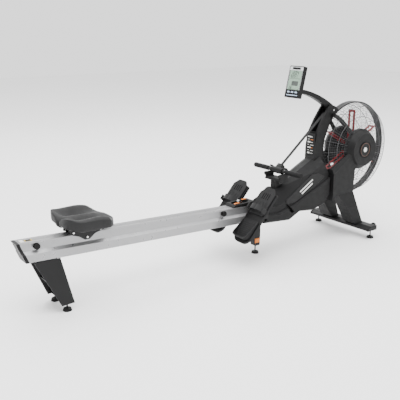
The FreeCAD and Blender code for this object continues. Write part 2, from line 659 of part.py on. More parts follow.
def cradle():
    """A yoke with two hooks that hold the handle against the pull of its strap."""
    yoke = slab_y([(1356, 440, 4), (1350, 424, 4), (1362, 420, 2), (1410, 420, 4),
                   (1414, 440, 4)], -66, 66)
    pieces = [cradle_post(), yoke]
    for side in SIDES.values():
        low, high = min(side * 54, side * 66), max(side * 54, side * 66)
        ring = tube_y(HANDLE_X, HANDLE_Z, 24, 14, low, high)
        mouth = slab_y([(HANDLE_X - 60, HANDLE_Z, 0), (HANDLE_X, HANDLE_Z, 0), (HANDLE_X + 2, HANDLE_Z + 40, 0),
                        (HANDLE_X - 60, HANDLE_Z + 40, 0)], low - 1, high + 1)
        lower = box(HANDLE_X - 30, HANDLE_X, low - 1, high + 1, HANDLE_Z - 13.9, HANDLE_Z + 1)
        prong = slab_y([(1342, 455, 3), (1356, 439, 0), (1412, 439, 0), (1412, 466, 0),
                        (1346, 466, 3)], low, high)
        room = rod_y(HANDLE_X, HANDLE_Z, 14, low - 1, high + 1).fuse(mouth)
        pieces.append(ring.fuse(prong).cut(room).cut(lower))
    save("handle_cradle", pieces[0].multiFuse(pieces[1:]).removeSplitter())


# Footrests

def footrest():
    """The left footrest's base, toe plate, heel cup, strap and buckle in its own axes."""
    base = slab_z([(0, -40, 38), (30, -68, 20), (326, -68, 12),
                   (326, 66, 12), (30, 66, 20), (0, 40, 38)], -14, -0.3)
    toe = slab_z([(178, -58, 6), (318, -58, 10), (350, -30, 18),
                  (350, 30, 18), (318, 58, 10), (178, 58, 6)], 0, 7)
    toe = round_edges(toe, 2, at_z(7))
    for y in (-24, -8, 8, 24):
        slot = [(276, y - 3, 2.9), (316, y - 3, 2.9), (316, y + 3, 2.9), (276, y + 3, 2.9)]
        toe = toe.cut(slab_z(slot, -1, 8))
    for y in (-36, -12, 12, 36):
        toe = toe.cut(box(190, 262, y - 2, y + 2, 5.5, 8))
    buckle = box(196, 232, -74, -64, 8, 26).cut(box(200, 228, -75, -63, 13, 21))
    return base, toe, heel_cup(), foot_strap(), buckle


def heel_cup():
    floor = slab_z([(22, -54, 24), (140, -54, 6), (140, 54, 6), (22, 54, 24)], 1, 7)
    walls = slab_z([(18, -58, 28), (140, -58, 2), (140, 58, 2), (18, 58, 28)], 1, 34)
    walls = walls.cut(slab_z([(24, -53, 24), (141, -53, 0), (141, 53, 0), (24, 53, 24)], 0, 35))
    slope = Part.makeBox(200, 200, 60, V(0, -100, 0))
    slope.rotate(V(0, 0, 0), V(0, 1, 0), 12)
    slope.translate(V(14, 0, 35))
    cup = floor.fuse(walls).cut(slope)
    for step in range(8):
        along = 44 + step * 11
        cup = cup.fuse(box(along, along + 4, -42, 42, 6.5, 8.5))
    return cup.removeSplitter()


def foot_strap():
    """Webbing that leaves one side of the toe plate and arches over to the other."""
    rise = [V(0, -61, 4), V(0, -44, 24), V(0, 0, 32), V(0, 44, 24), V(0, 61, 4)]

    def half_band(offset):
        return [Part.Arc(V(198, rise[0].y, rise[0].z + offset), V(198, rise[1].y, rise[1].z + offset),
                         V(198, rise[2].y, rise[2].z + offset)).toShape(),
                Part.Arc(V(198, rise[2].y, rise[2].z + offset), V(198, rise[3].y, rise[3].z + offset),
                         V(198, rise[4].y, rise[4].z + offset)).toShape()]
    lower, upper = half_band(0), half_band(2.5)
    ends = [Part.LineSegment(V(198, -61, 4), V(198, -61, 6.5)).toShape(),
            Part.LineSegment(V(198, 61, 4), V(198, 61, 6.5)).toShape()]
    wire = Part.Wire(Part.__sortEdges__(lower + upper + ends))
    return Part.Face(wire).extrude(V(32, 0, 0))


def footrests():
    pieces = {side: [on_plate(shape, side) for shape in footrest()] for side in SIDES.values()}
    left, right = pieces[1], pieces[-1]
    save("footrest_bases", left[0], right[0])
    save("toe_plates", left[1], right[1])
    save("heel_cup_left", left[2])
    save("heel_cup_right", right[2])
    save("foot_straps", left[3], right[3], left[4], right[4])


def rail_lock():
    cover = slab_y([(1030, 319, 0), (1044, 331, 6), (1188, 336, 6), (1191, 313.5, 0)], -40, 40)
    cover = cover.cut(on_rail(box(900, 1300, -60, 60, -50, 0.2)))
    pocket = slab_z([(1050, -26, 25), (1160, -26, 25), (1160, 26, 25), (1050, 26, 25)], 321, 340)
    save("rail_lock_cover", cover.cut(pocket))
    hook = slab_y([(1090, 322, 2), (1120, 321.6, 0), (1120, 331.4, 0), (1110, 333, 3), (1105, 346, 4),
                   (1094, 346, 4), (1090, 338, 2)], -8, 8)
    save("lock_hook", hook.fuse(rod_y(1120, 326.5, 4.9, -8, 8)).removeSplitter())


# Console

def console_arm():
    upper = [V(1568, 0, 936), V(1700, 0, 893), V(1822, 0, 826)]
    lower = [V(1560, 0, 914), V(1672, 0, 874), V(1792, 0, 800)]
    edges = [Part.Arc(*upper).toShape(), Part.LineSegment(upper[2], lower[2]).toShape(),
             Part.Arc(*lower).toShape(), Part.LineSegment(lower[0], upper[0]).toShape()]
    arm = Part.Face(Part.Wire(Part.__sortEdges__(edges))).extrude(V(0, 36, 0))
    arm.translate(V(0, -18, 0))
    arm = arm.fuse(rod_y(ARM_PIVOT_X, ARM_PIVOT_Z, 16, -18, 18))
    arm = arm.fuse(rod_y(TILT_X, TILT_Z, 11, -18, 18))
    save("console_arm", arm.cut(rod_y(ARM_PIVOT_X, ARM_PIVOT_Z, 4.9, -20, 20)).removeSplitter())


def console():
    half, tall, deep = CONSOLE_HALF_WIDTH, CONSOLE_HALF_HEIGHT, CONSOLE_DEPTH
    shell = round_edges(box(-deep / 2, deep / 2, -half, half, -tall, tall), 5, lambda b: b.XLength > 20)
    shell = shell.cut(box(-deep / 2 - 1, -deep / 2 + 3, -half + 4, half - 4, -tall + 4, tall - 4))
    shell = on_console(shell)
    for side in SIDES.values():
        lug = slab_y([(TILT_X - 60, TILT_Z - 10, 0), (TILT_X + 2, TILT_Z - 11, 8), (TILT_X + 11, TILT_Z, 8),
                      (TILT_X + 2, TILT_Z + 11, 8), (TILT_X - 60, TILT_Z + 12, 0)], side * 18.5, side * 24)
        shell = shell.fuse(lug.cut(on_console(box(-60, deep / 2 - 1, -60, 60, -200, 200))))
    save("console_housing", shell.removeSplitter())
    face = box(-deep / 2 + 0.2, -deep / 2 + 2.9, -half + 4.2, half - 4.2, -tall + 4.2, tall - 4.2)
    face = face.cut(box(-deep, -deep / 2 + 1.4, -half + 9, half - 9, -tall + 46, tall - 26))
    for index in range(3):
        y = (index - 1) * 30
        face = face.cut(box(-deep, 0, y - 13.2, y + 13.2, -tall + 22.8, -tall + 41.2))
        key = box(-deep / 2 - 1, -deep / 2 + 1.7, y - 13, y + 13, -tall + 23, -tall + 41)
        key = round_edges(key, 1, lambda b: b.XMax < -deep / 2 - 0.9)
        save("console_key_%d" % (index + 1), on_console(key))
    save("console_bezel", on_console(face))
    save("console_screen", on_console(box(-deep / 2 + 0.4, -deep / 2 + 1.3, -half + 9.2, half - 9.2,
                                          -tall + 46.2, tall - 26.2)))


def main():
    os.makedirs("parts", exist_ok=True)
    rail()
    rail_stops()
    rear_leg()
    levelling_feet()
    carriage(seat())
    main_frame(legs())
    middle_foot_bracket()
    body_shells()
    dial()
    mast_shells()
    head_pulley()
    save("end_caps", rail_end_cap(), *crossbar())
    hub_covers()
    fan_cage()
    fan_rotor()
    brace_tubes()
    handle()
    cradle()
    footrests()
    rail_lock()
    console_arm()
    console()


main()
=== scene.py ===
import math

import bmesh
import bpy
from mathutils import Matrix, Vector
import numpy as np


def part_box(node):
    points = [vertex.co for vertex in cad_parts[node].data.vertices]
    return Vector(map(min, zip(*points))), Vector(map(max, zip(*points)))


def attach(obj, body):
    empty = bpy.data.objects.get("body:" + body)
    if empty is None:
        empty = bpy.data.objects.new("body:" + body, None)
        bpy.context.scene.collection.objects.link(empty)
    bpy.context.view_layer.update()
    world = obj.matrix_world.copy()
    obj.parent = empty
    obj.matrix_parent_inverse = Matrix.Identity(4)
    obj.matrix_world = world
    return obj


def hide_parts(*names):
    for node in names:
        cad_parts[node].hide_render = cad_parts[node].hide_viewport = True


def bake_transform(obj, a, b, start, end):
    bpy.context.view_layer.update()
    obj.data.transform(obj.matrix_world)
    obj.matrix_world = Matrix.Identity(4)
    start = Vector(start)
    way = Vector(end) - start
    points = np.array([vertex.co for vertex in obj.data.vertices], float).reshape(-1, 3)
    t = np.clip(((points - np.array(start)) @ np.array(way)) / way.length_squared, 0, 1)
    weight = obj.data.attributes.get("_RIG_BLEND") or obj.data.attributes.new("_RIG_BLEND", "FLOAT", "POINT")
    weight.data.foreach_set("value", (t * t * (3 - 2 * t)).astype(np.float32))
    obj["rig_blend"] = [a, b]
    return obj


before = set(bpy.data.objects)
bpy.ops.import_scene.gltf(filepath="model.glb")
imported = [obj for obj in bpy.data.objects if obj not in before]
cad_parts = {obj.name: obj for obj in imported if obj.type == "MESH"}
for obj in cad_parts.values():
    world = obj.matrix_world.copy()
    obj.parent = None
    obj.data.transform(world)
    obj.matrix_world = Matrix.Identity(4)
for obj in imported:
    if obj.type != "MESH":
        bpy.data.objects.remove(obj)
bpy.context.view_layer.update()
print("frame loaded")


# shared helpers

def linkNode(tree, fromNode, fromSocket, toNode, toSocket):
    tree.links.new(fromNode.outputs[fromSocket], toNode.inputs[toSocket])


def objectNoise(tree, scale, detail, stretch=None):
    coords = tree.nodes.new("ShaderNodeTexCoord")
    noise = tree.nodes.new("ShaderNodeTexNoise")
    noise.inputs["Scale"].default_value = scale
    noise.inputs["Detail"].default_value = detail
    if stretch:
        mapping = tree.nodes.new("ShaderNodeMapping")
        mapping.inputs["Scale"].default_value = stretch
        linkNode(tree, coords, "Object", mapping, "Vector")
        linkNode(tree, mapping, "Vector", noise, "Vector")
    else:
        linkNode(tree, coords, "Object", noise, "Vector")
    return noise


edgeWear = {"width": 0.0015, "samples": 4, "flatFrom": 0.995, "sharpTo": 0.90, "paler": 2.2, "lift": 0.03}
smudges = {"scale": 35.0, "detail": 3.0, "low": 0.3, "high": 0.7, "spread": 0.08, "glossiest": 0.03}


def makeFinish(name, values):
    material = bpy.data.materials.new(name)
    material.use_nodes = True
    tree = material.node_tree
    shader = tree.nodes["Principled BSDF"]
    shader.inputs["Metallic"].default_value = values.get("metallic", 0.0)
    shader.inputs["IOR"].default_value = 1.46
    shader.inputs["Specular IOR Level"].default_value = values.get("specular", 0.5)
    shader.inputs["Sheen Weight"].default_value = values.get("sheen", 0.0)
    shader.inputs["Coat Weight"].default_value = values.get("coat", 0.0)

    cloud = objectNoise(tree, values.get("cloudScale", 9.0), 5.0)     # soft uneven tone
    tone = tree.nodes.new("ShaderNodeMix")
    tone.data_type = "RGBA"
    vary = values.get("vary", 0.12)
    tone.inputs[6].default_value = [c * (1 - vary) for c in values["color"]] + [1]
    tone.inputs[7].default_value = [c * (1 + vary) for c in values["color"]] + [1]
    linkNode(tree, cloud, "Fac", tone, 0)
    toneOut = tone.outputs[2]

    if values.get("wear"):                                            # paler, rubbed edges
        rounded = tree.nodes.new("ShaderNodeBevel")
        rounded.samples = edgeWear["samples"]
        rounded.inputs["Radius"].default_value = edgeWear["width"]
        geometry = tree.nodes.new("ShaderNodeNewGeometry")
        dot = tree.nodes.new("ShaderNodeVectorMath")
        dot.operation = "DOT_PRODUCT"
        linkNode(tree, rounded, "Normal", dot, 0)
        linkNode(tree, geometry, "Normal", dot, 1)
        edge = tree.nodes.new("ShaderNodeMapRange")
        edge.inputs["From Min"].default_value = edgeWear["flatFrom"]
        edge.inputs["From Max"].default_value = edgeWear["sharpTo"]
        edge.inputs["To Max"].default_value = values["wear"]
        linkNode(tree, dot, "Value", edge, "Value")
        worn = tree.nodes.new("ShaderNodeMix")
        worn.data_type = "RGBA"
        rubbed = [min(1, c * edgeWear["paler"] + edgeWear["lift"]) for c in values["color"]]
        worn.inputs[7].default_value = rubbed + [1]
        tree.links.new(toneOut, worn.inputs[6])
        linkNode(tree, edge, "Result", worn, 0)
        toneOut = worn.outputs[2]
    tree.links.new(toneOut, shader.inputs["Base Color"])

    smudge = objectNoise(tree, smudges["scale"], smudges["detail"])
    gloss = tree.nodes.new("ShaderNodeMapRange")
    gloss.inputs["From Min"].default_value = smudges["low"]
    gloss.inputs["From Max"].default_value = smudges["high"]
    gloss.inputs["To Min"].default_value = max(smudges["glossiest"], values["roughness"] - smudges["spread"])
    gloss.inputs["To Max"].default_value = min(1.0, values["roughness"] + smudges["spread"])
    linkNode(tree, smudge, "Fac", gloss, "Value")
    linkNode(tree, gloss, "Result", shader, "Roughness")

    grain = objectNoise(tree, values.get("grainScale", 900.0), 2.0, values.get("stretch"))
    bump = tree.nodes.new("ShaderNodeBump")
    bump.inputs["Strength"].default_value = values.get("bump", 0.15)
    bump.inputs["Distance"].default_value = values.get("grainDepth", 0.0004)
    linkNode(tree, grain, "Fac", bump, "Height")
    linkNode(tree, bump, "Normal", shader, "Normal")
    return material


def finishPiece(name, bm, material, body, smooth=True):
    bmesh.ops.remove_doubles(bm, verts=bm.verts, dist=1e-6)
    bmesh.ops.recalc_face_normals(bm, faces=bm.faces)
    mesh = bpy.data.meshes.new(name)
    bm.to_mesh(mesh)
    bm.free()
    for face in mesh.polygons:
        face.use_smooth = smooth
    piece = bpy.data.objects.new(name, mesh)
    bpy.context.collection.objects.link(piece)
    mesh.materials.append(material)
    if body:
        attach(piece, body)
    return piece


def addBlock(bm, center, size, turn=None, bevel=0.0, segments=2):
    made = bmesh.ops.create_cube(bm, size=1.0)["verts"]
    bmesh.ops.scale(bm, vec=size, verts=made)
    if bevel:
        edges = list({e for v in made for e in v.link_edges})
        made = bmesh.ops.bevel(bm, geom=edges, offset=bevel, segments=segments, profile=0.5,
                               affect="EDGES", material=-1)["verts"]
    if turn is not None:
        bmesh.ops.rotate(bm, cent=(0, 0, 0), matrix=turn, verts=made)
    bmesh.ops.translate(bm, vec=center, verts=made)
    return made


def addDisc(bm, center, axis, radius, height, segments=32, taper=1.0):
    made = bmesh.ops.create_cone(bm, cap_ends=True, segments=segments, radius1=radius,
                                 radius2=radius * taper, depth=height)["verts"]
    turn = Vector((0, 0, 1)).rotation_difference(Vector(axis)).to_matrix()
    bmesh.ops.rotate(bm, cent=(0, 0, 0), matrix=turn, verts=made)
    bmesh.ops.translate(bm, vec=Vector(center) + Vector(axis).normalized() * (height / 2), verts=made)
    return made


def addRing(bm, center, axis, radius, thickness, segments=64, sides=10):
    before = set(bm.verts)
    made = bmesh.ops.create_circle(bm, segments=sides, radius=thickness)["verts"]
    bmesh.ops.rotate(bm, cent=(0, 0, 0), matrix=Matrix.Rotation(math.pi / 2, 3, "X"), verts=made)
    bmesh.ops.translate(bm, vec=(radius, 0, 0), verts=made)
    loop = list({e for v in made for e in v.link_edges})
    bmesh.ops.spin(bm, geom=made + loop, cent=(0, 0, 0), axis=(0, 0, 1), angle=2 * math.pi,
                   steps=segments, use_merge=True)
    ringVerts = [v for v in bm.verts if v not in before]
    turn = Vector((0, 0, 1)).rotation_difference(Vector(axis)).to_matrix()
    bmesh.ops.rotate(bm, cent=(0, 0, 0), matrix=turn, verts=ringVerts)
    bmesh.ops.translate(bm, vec=center, verts=ringVerts)
    return ringVerts


def slopeTurn(degrees):
    return Matrix.Rotation(math.radians(degrees), 3, "Y")


# finishes

look = {
    "castingPlastic": {"color": (0.0060, 0.0060, 0.0062), "roughness": 0.50, "specular": 0.16, "bump": 0.20,
                       "grainScale": 1400, "wear": 0.25},
    "sidePanelPlastic": {"color": (0.0080, 0.0080, 0.0082), "roughness": 0.46, "specular": 0.18,
                         "bump": 0.15, "grainScale": 1500, "wear": 0.30},
    "mastPlastic": {"color": (0.0055, 0.0055, 0.0057), "roughness": 0.48, "specular": 0.16, "bump": 0.18,
                    "grainScale": 1400, "wear": 0.25},
    "blackPlastic": {"color": (0.0045, 0.0045, 0.0047), "roughness": 0.45, "specular": 0.18, "bump": 0.15,
                     "wear": 0.20},
    "plateRubber": {"color": (0.0100, 0.0100, 0.0103), "roughness": 0.64, "specular": 0.18, "bump": 0.35,
                    "grainScale": 700, "wear": 0.40},
    "paintedSteel": {"color": (0.0095, 0.0095, 0.0098), "roughness": 0.42, "specular": 0.20, "bump": 0.12,
                     "grainScale": 1100, "wear": 0.25},
    "satinRail": {"color": (0.29, 0.29, 0.295), "roughness": 0.34, "metallic": 0.6, "bump": 0.02,
                  "vary": 0.03, "grainScale": 60, "stretch": (0.4, 40, 40), "cloudScale": 3},
    "brightSteel": {"color": (0.58, 0.58, 0.58), "roughness": 0.28, "metallic": 1.0, "bump": 0.06,
                    "vary": 0.05},
    "ringPaint": {"color": (0.0090, 0.0090, 0.0094), "roughness": 0.36, "specular": 0.20, "bump": 0.08,
                  "wear": 0.20},
    "wirePaint": {"color": (0.040, 0.040, 0.042), "roughness": 0.40, "specular": 0.4, "bump": 0.06,
                  "vary": 0.06},
    "bladeRed": {"color": (0.155, 0.004, 0.007), "roughness": 0.36, "specular": 0.24, "bump": 0.08,
                 "vary": 0.10},
    "footRubber": {"color": (0.0045, 0.0045, 0.0045), "roughness": 0.60, "specular": 0.18, "bump": 0.3,
                   "grainScale": 800},
    "seatSkin": {"color": (0.0150, 0.0150, 0.0153), "roughness": 0.56, "specular": 0.16, "bump": 0.30,
                 "grainScale": 1000, "sheen": 0.04, "grainDepth": 0.0005},
    "gripFoam": {"color": (0.0070, 0.0070, 0.0073), "roughness": 0.72, "specular": 0.16, "bump": 0.5,
                 "grainScale": 1300},
    "webbing": {"color": (0.0160, 0.0160, 0.0164), "roughness": 0.80, "specular": 0.14, "bump": 0.6,
                "grainScale": 500, "stretch": (3, 1, 3), "sheen": 0.08},
    "orangePlastic": {"color": (0.64, 0.165, 0.006), "roughness": 0.35, "bump": 0.05, "vary": 0.05},
    "silverBezel": {"color": (0.62, 0.63, 0.64), "roughness": 0.30, "metallic": 0.35, "bump": 0.04,
                    "vary": 0.03},
    "screenGlass": {"color": (0.20, 0.29, 0.22), "roughness": 0.30, "bump": 0.0, "vary": 0.03, "coat": 0.5},
    "screenInk": {"color": (0.012, 0.018, 0.015), "roughness": 0.35, "bump": 0.0, "vary": 0.05},
    "screenGrey": {"color": (0.050, 0.060, 0.054), "roughness": 0.35, "bump": 0.0, "vary": 0.08},
    "keyPlastic": {"color": (0.42, 0.52, 0.66), "roughness": 0.30, "bump": 0.03, "vary": 0.04},
    "paleInk": {"color": (0.60, 0.60, 0.58), "roughness": 0.5, "bump": 0.03, "vary": 0.06},
    "brownInk": {"color": (0.12, 0.050, 0.025), "roughness": 0.4, "bump": 0.03, "vary": 0.1},
    "yellowInk": {"color": (0.50, 0.34, 0.02), "roughness": 0.5, "bump": 0.03, "vary": 0.06},
    "labelGrey": {"color": (0.0100, 0.0100, 0.0103), "roughness": 0.38, "specular": 0.2, "bump": 0.04,
                  "vary": 0.1},
}
finish = {name: makeFinish(name, values) for name, values in look.items()}

nodeFinish = {
    "castingPlastic": ["body_shell_left", "body_shell_right", "arm_covers", "leg_covers", "hub_covers",
                       "rail_lock_cover", "handle_cradle", "resistance_dial", "console_arm"],
    "sidePanelPlastic": ["body_side_panels"],
    "mastPlastic": ["mast_shell_left", "mast_shell_right"],
    "blackPlastic": ["console_key_1", "console_key_2", "console_key_3", "end_caps", "drive_drum",
                     "head_pulley", "handle_centre", "fan_hub", "console_housing", "console_bezel",
                     "seat_rollers_front", "seat_rollers_rear", "seat_rollers_lower",
                     "transport_wheel_left", "transport_wheel_right", "footrest_bases"],
    "plateRubber": ["toe_plates", "heel_cup_left", "heel_cup_right"],
    "paintedSteel": ["rear_leg", "main_frame", "middle_foot_bracket", "front_crossbar", "brace_tubes",
                     "seat_carriage", "handle_bar"],
    "satinRail": ["rail"],
    "brightSteel": ["carriage_axles", "fan_axle", "lock_hook", "mast_bolts", "recoil_spring"],
    "ringPaint": ["fan_ring"],
    "wirePaint": ["fan_guards"],
    "bladeRed": ["fan_blades"],
    "footRubber": ["rail_stops", "levelling_foot_rear_left", "levelling_foot_rear_right",
                   "levelling_foot_middle", "levelling_foot_front_left", "levelling_foot_front_right"],
    "gripFoam": ["handle_grips"],
    "orangePlastic": ["release_lever"],
    "screenGlass": ["console_screen"],
    "labelGrey": ["mast_rear_panel"],
    "seatSkin": ["seat_cushion"],
    "webbing": ["foot_straps", "drive_strap"],
}
for finishName, nodes in nodeFinish.items():
    for node in nodes:
        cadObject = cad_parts[node]
        for materialSlot in cadObject.material_slots:
            materialSlot.link = "OBJECT"
            materialSlot.material = finish[finishName]
print("finishes made")


# camera, light and floor

cameraSet = {"place": (-2.10455, -2.598, 1.2835), "turn": (74.425, 0, -35.92), "lens": 55.59}
camera = bpy.data.objects.new("camera", bpy.data.cameras.new("camera"))
bpy.context.collection.objects.link(camera)
camera.location = cameraSet["place"]
camera.rotation_euler = [math.radians(a) for a in cameraSet["turn"]]
camera.data.lens = cameraSet["lens"]
camera.data.sensor_width = 36
camera.data.clip_end = 60
bpy.context.scene.camera = camera

lights = {
    "overhead": {"place": (0, 0, 6.0), "size": 9.0, "power": 900},
    "key": {"place": (-1.0, -1.4, 4.4), "size": 2.2, "power": 70},
    "back": {"place": (0.6, 3.2, 3.4), "size": 2.6, "power": 50},
}
lightAim = Vector((0, 0, 0.4))
for name, values in lights.items():
    lamp = bpy.data.objects.new(name, bpy.data.lights.new(name, "AREA"))
    bpy.context.collection.objects.link(lamp)
    lamp.data.size = values["size"]
    lamp.data.energy = values["power"]
    lamp.location = values["place"]
    lamp.rotation_euler = (lightAim - Vector(values["place"])).to_track_quat("-Z", "Y").to_euler()
worldBrightness = 1.7
world = bpy.data.worlds.new("studio")
world.use_nodes = True
world.node_tree.nodes["Background"].inputs["Color"].default_value = (1, 1, 1, 1)
world.node_tree.nodes["Background"].inputs["Strength"].default_value = worldBrightness
bpy.context.scene.world = world

floorLook = {"color": (0.93, 0.93, 0.93), "roughness": 0.7, "vary": 0.01, "bump": 0.0, "cloudScale": 0.6}
floorSize = 14
floorMesh = bmesh.new()
bmesh.ops.create_grid(floorMesh, x_segments=2, y_segments=2, size=floorSize)
floorData = bpy.data.meshes.new("floor")
floorMesh.to_mesh(floorData)
floorMesh.free()
floor = bpy.data.objects.new("floor", floorData)
bpy.context.collection.objects.link(floor)
floorData.materials.append(makeFinish("floorPaint", floorLook))
print("stage set")


# seat cushion

seatShape = {
    "cells": (36, 40), "cornerPower": 5, "rim": 0.056, "rise": 0.006,
    "hollowDeep": 0.032, "hollowAcross": 0.40, "hollowAlong": 0.42, "hollowWide": 0.26, "hollowLong": 0.30,
    "rearLip": 0.014, "lipLong": 0.13, "notchWide": 0.036, "notchDeep": 0.020, "halfWidth": 0.14,
    "frontFall": 0.028, "fallFrom": 0.5,
    "sideCrest": 0.012, "crestAcross": 0.82, "crestWide": 0.16, "crestAlong": 0.55, "crestLong": 0.4,
    "edgeRound": 0.0035, "edgeFrom": 0.90, "frontTaper": (0.10, 0.72), "rearTaper": (0.10, 0.22),
    "cornerCut": (0.16, 0.75, 0.25), "notchIn": (0.05, 0.2, 0.16),
    "walls": ((0.0025, 0.0016), (0.004, 0.0006), (0.020, 0.0)),
    "skirtDrop": 0.004, "skirtGap": 0.002, "rearLift": (0.012, 0.22), "frontLift": (0.014, 0.8),
    "skirtWidth": 0.985, "baseWidth": 0.90, "baseLength": 0.9,
}


def bell(distance, width):
    return math.exp(-(distance / width) ** 2)


def seatTop(along, across):
    values = seatShape
    hollow = (bell(across - values["hollowAcross"], values["hollowWide"])
              * bell(along - values["hollowAlong"], values["hollowLong"]))
    middle = bell(across * values["halfWidth"], values["notchWide"])
    lip = bell(along, values["lipLong"]) * (values["rearLip"] * (1 - middle) - values["notchDeep"] * middle)
    crest = (bell(across - values["crestAcross"], values["crestWide"])
             * bell(along - values["crestAlong"], values["crestLong"]))
    fall = max(0.0, (along - values["fallFrom"]) / (1 - values["fallFrom"])) ** 2
    return (values["rim"] - values["hollowDeep"] * hollow + lip + values["sideCrest"] * crest
            - values["frontFall"] * fall - values["rise"] * along)


def seatPoint(u, w, low, high):
    values = seatShape
    edge = max(abs(u), abs(w))
    power = values["cornerPower"]
    pull = edge / max(1e-6, (abs(u) ** power + abs(w) ** power) ** (1 / power))
    u, w = u * pull, w * pull
    along = (u + 1) / 2
    length, half = high.x - low.x, (high.y - low.y) / 2
    frontTaper, frontFrom = values["frontTaper"]
    rearTaper, rearFrom = values["rearTaper"]
    width = (1.0 - frontTaper * max(0.0, along - frontFrom) / (1 - frontFrom)
             - rearTaper * max(0.0, rearFrom - along) / rearFrom)
    cut, cutAlong, cutAcross = values["cornerCut"]
    notch, notchLong, notchWide = values["notchIn"]
    x = low.x + length * along
    x -= (length * cut * max(0.0, along - cutAlong) / (1 - cutAlong)
          * max(0.0, abs(w) - cutAcross) / (1 - cutAcross))
    x += length * notch * max(0.0, notchLong - along) / notchLong * (1 - min(1.0, abs(w) / notchWide)) ** 2
    drop = values["edgeRound"] * max(0.0, (edge - values["edgeFrom"]) / (1 - values["edgeFrom"])) ** 2
    return x, w * half * width, low.z + seatTop(along, abs(w)) - drop


def extrudeRim(bm, rim):
    made = bmesh.ops.extrude_edge_only(bm, edges=rim)["geom"]
    verts = [g for g in made if isinstance(g, bmesh.types.BMVert)]
    rim = [g for g in made if isinstance(g, bmesh.types.BMEdge) and g.is_boundary]
    return verts, rim


def makeSeat():
    low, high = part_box("seat_cushion")
    values = seatShape
    length = high.x - low.x
    middleX = low.x + length / 2
    bm = bmesh.new()
    across, along = values["cells"]
    bmesh.ops.create_grid(bm, x_segments=across, y_segments=along, size=1.0)
    for v in bm.verts:
        v.co = seatPoint(v.co.x, v.co.y, low, high)
    rim = [e for e in bm.edges if e.is_boundary]
    for sink, swell in values["walls"]:
        verts, rim = extrudeRim(bm, rim)
        for v in verts:
            away = Vector((v.co.x - middleX, v.co.y, 0)).normalized()
            v.co += away * swell - Vector((0, 0, sink))
    verts, rim = extrudeRim(bm, rim)
    rearLift, rearFrom = values["rearLift"]
    frontLift, frontFrom = values["frontLift"]
    for v in verts:
        t = (v.co.x - low.x) / length
        lift = (rearLift * max(0.0, rearFrom - t) / rearFrom
                + frontLift * max(0.0, t - frontFrom) / (1 - frontFrom))
        v.co.z = min(v.co.z - values["skirtDrop"], low.z + values["skirtGap"] + lift)
        v.co.y *= values["skirtWidth"]
    verts, rim = extrudeRim(bm, rim)
    for v in verts:
        v.co.y *= values["baseWidth"]
        v.co.x = middleX + (v.co.x - middleX) * values["baseLength"]
    bmesh.ops.contextual_create(bm, geom=rim)
    seat = finishPiece("seatPad", bm, finish["seatSkin"], None)
    subdivide = seat.modifiers.new("smooth", "SUBSURF")
    subdivide.levels = subdivide.render_levels = 1
    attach(seat, "seat")
    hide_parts("seat_cushion")


makeSeat()
print("seat made")


# drive strap

strapShape = {"width": 0.020, "thick": 0.002, "steps": 60, "faceShare": 0.4}


def makeDriveStrap():
    low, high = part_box("drive_strap")
    inset = strapShape["thick"] * strapShape["faceShare"]
    start = Vector((low.x, 0, low.z + inset))
    end = Vector((high.x, 0, high.z - inset))
    run = end - start
    bm = bmesh.new()
    made = bmesh.ops.create_cube(bm, size=1.0)["verts"]
    bmesh.ops.scale(bm, vec=(run.length, strapShape["width"], strapShape["thick"]), verts=made)
    along = [e for e in bm.edges if abs((e.verts[0].co - e.verts[1].co).x) > run.length / 2]
    bmesh.ops.subdivide_edges(bm, edges=along, cuts=strapShape["steps"], use_grid_fill=True)
    turn = Vector((1, 0, 0)).rotation_difference(run).to_matrix()
    bmesh.ops.rotate(bm, cent=(0, 0, 0), matrix=turn, verts=bm.verts)
    bmesh.ops.translate(bm, vec=(start + end) / 2, verts=bm.verts)
    strap = finishPiece("driveStrap", bm, finish["webbing"], None, smooth=False)
    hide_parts("drive_strap")
    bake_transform(strap, "frame", "handle", start=end, end=start)
    # an even share along the run keeps the drawn strap straight
    share = strap.data.attributes["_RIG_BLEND"]
    for index, v in enumerate(strap.data.vertices):
        share.data[index].value = min(1.0, max(0.0, (v.co - end).dot(start - end) / run.length_squared))


makeDriveStrap()
print("strap made")


# printed console face: plain digits and blocks on the screen, a pill above and a strip below

consoleFace = {"lean": 13, "bezelMiddle": 0.01145, "screenInk": 0.0127, "bezelInk": 0.0129, "ink": 0.0004,
               "rows": ((0.052, "1204", 0.0165), (0.032, "0257", 0.0140), (-0.034, "28", 0.012)),
               "digitLeft": 0.030, "digitPitch": 0.95, "digitWide": 0.5, "stroke": 0.19,
               "ticks": 9, "tickLeft": 0.038, "tickPitch": 0.0095, "tick": (0.0185, 0.0070, 0.0022),
               "bar": (-0.042, 0.0065, 0.001), "barGrow": 0.0007, "barCycle": 3,
               "block": (-0.006, -0.009, 0.052, 0.026), "cap": (0, 0.0758, 0.104, 0.020),
               "pill": (0, 0.0765, 0.064, 0.0125), "edge": (0.0512, 0.010, 0.0014, 0.112),
               "strip": (0, -0.0765, 0.088, 0.0042)}
digitBars = {"0": "abcdef", "1": "bc", "2": "abged", "3": "abgcd", "4": "fgbc", "5": "afgcd",
             "6": "afgecd", "7": "abc", "8": "abcdefg", "9": "abcdfg"}


def consolePoint(across, up, out):
    low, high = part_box("console_bezel")
    turn = slopeTurn(consoleFace["lean"])
    return (low + high) / 2 + turn @ Vector((consoleFace["bezelMiddle"] - out, across, up))


def addInk(bm, across, up, wide, tall, out):
    size = (consoleFace["ink"], wide, tall)
    addBlock(bm, consolePoint(across, up, out), size, slopeTurn(consoleFace["lean"]))


